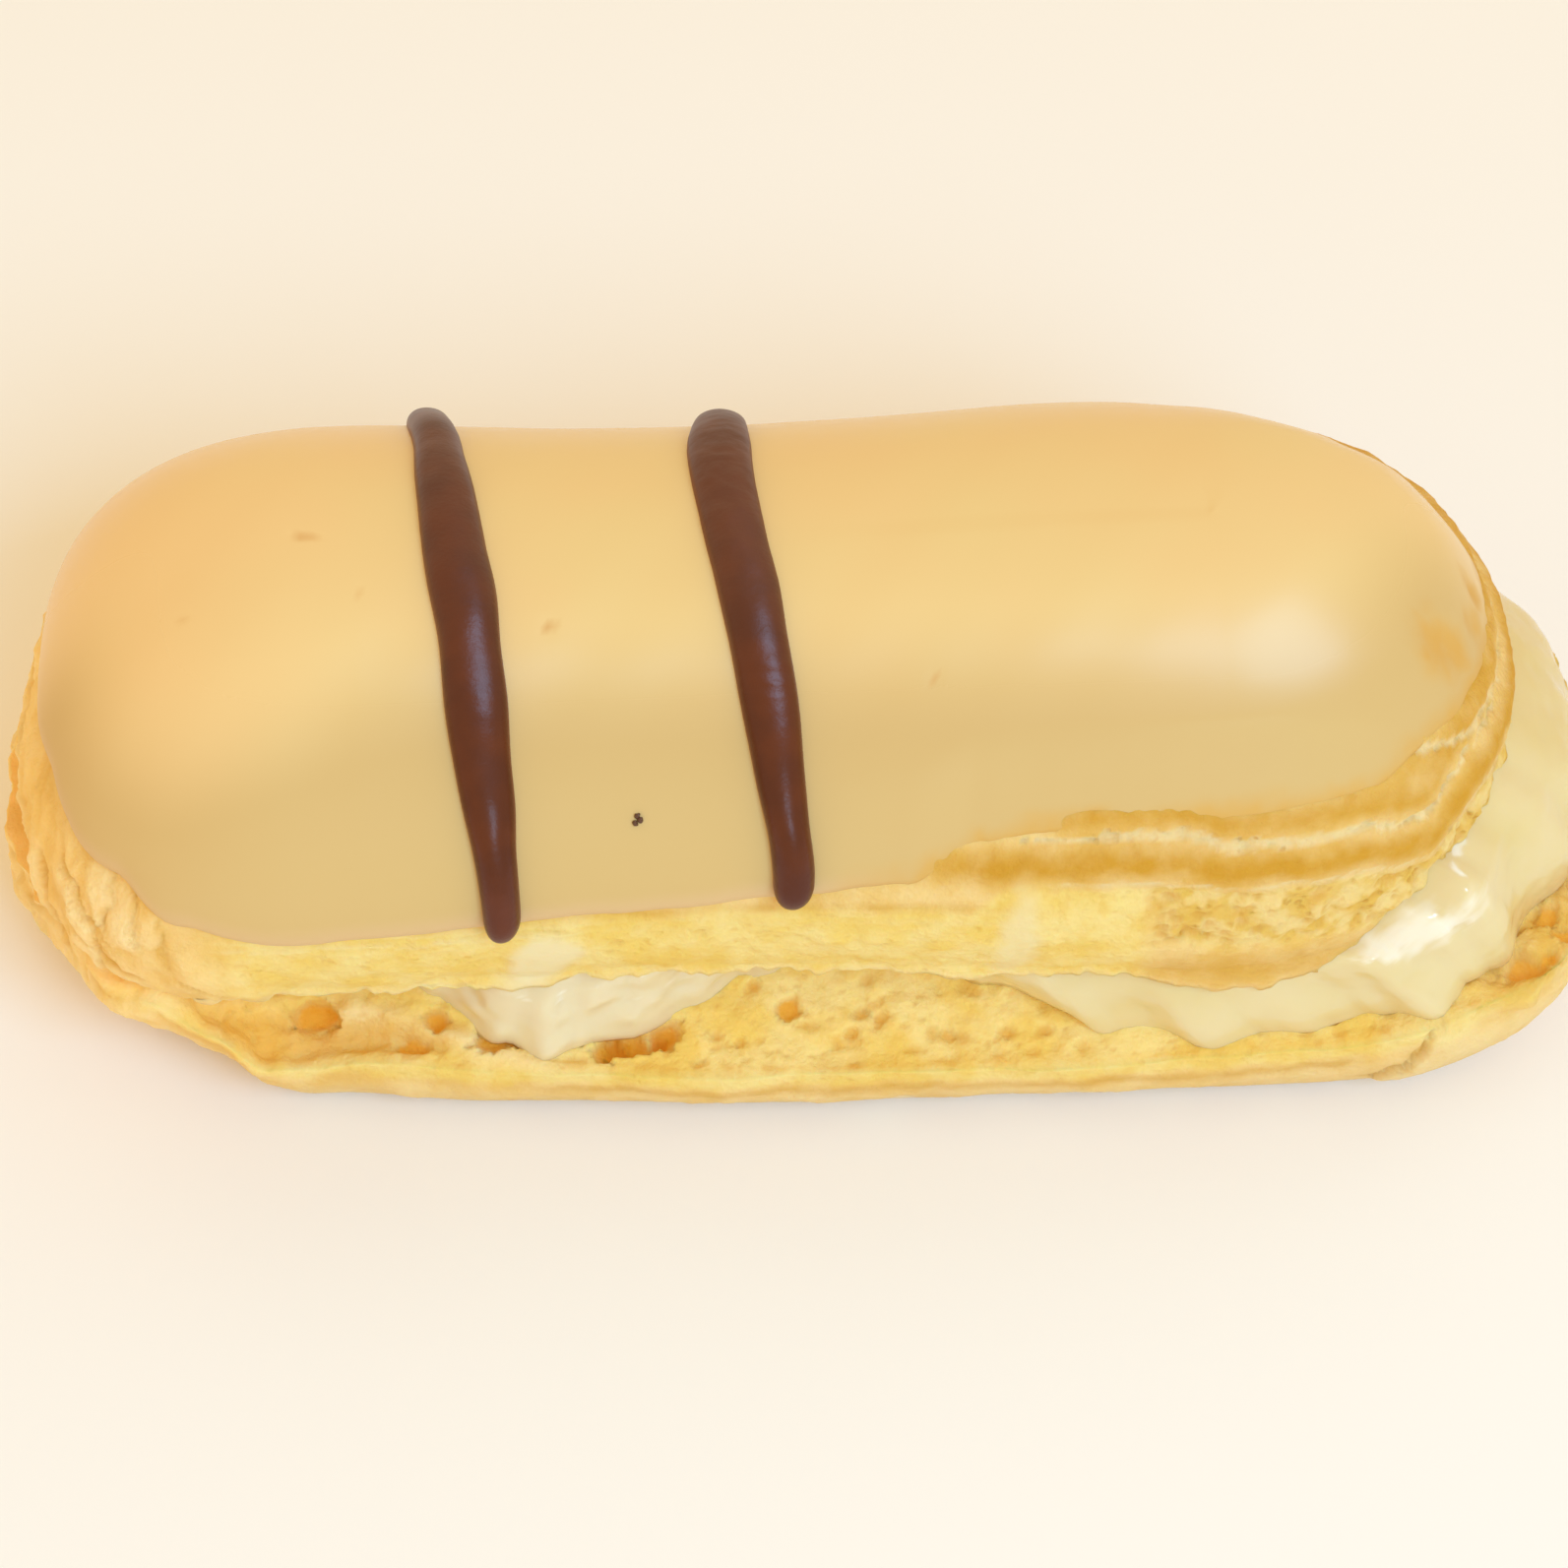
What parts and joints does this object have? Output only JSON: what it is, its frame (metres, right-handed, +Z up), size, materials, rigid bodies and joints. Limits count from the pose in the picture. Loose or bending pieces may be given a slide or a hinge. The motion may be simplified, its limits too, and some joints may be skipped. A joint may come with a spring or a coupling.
{
  "type": "filled eclair",
  "caption": "Long choux bun slit along one side and one end, filled with custard cream, iced with pale caramel icing and crossed by piped chocolate stripes.",
  "frame": {"origin": "centre of the underside of the bounding box, on the surface that the bun stands on", "axes": "+X along the bun towards its open end, -Y towards the slit side, +Z up"},
  "size_m": [0.1223, 0.0529, 0.0442],
  "materials": {
    "choux": "baked choux dough, golden crust and pale torn crumb",
    "cream": "soft wet custard cream",
    "icing": "smooth satin caramel icing",
    "chocolate": "set dark chocolate icing with a soft sheen"
  },
  "bodies": {
    "root": {"choux": "choux", "cream": "cream", "icing": "icing", "stripe_left": "chocolate", "stripe_right": "chocolate"}
  },
  "joints": []
}
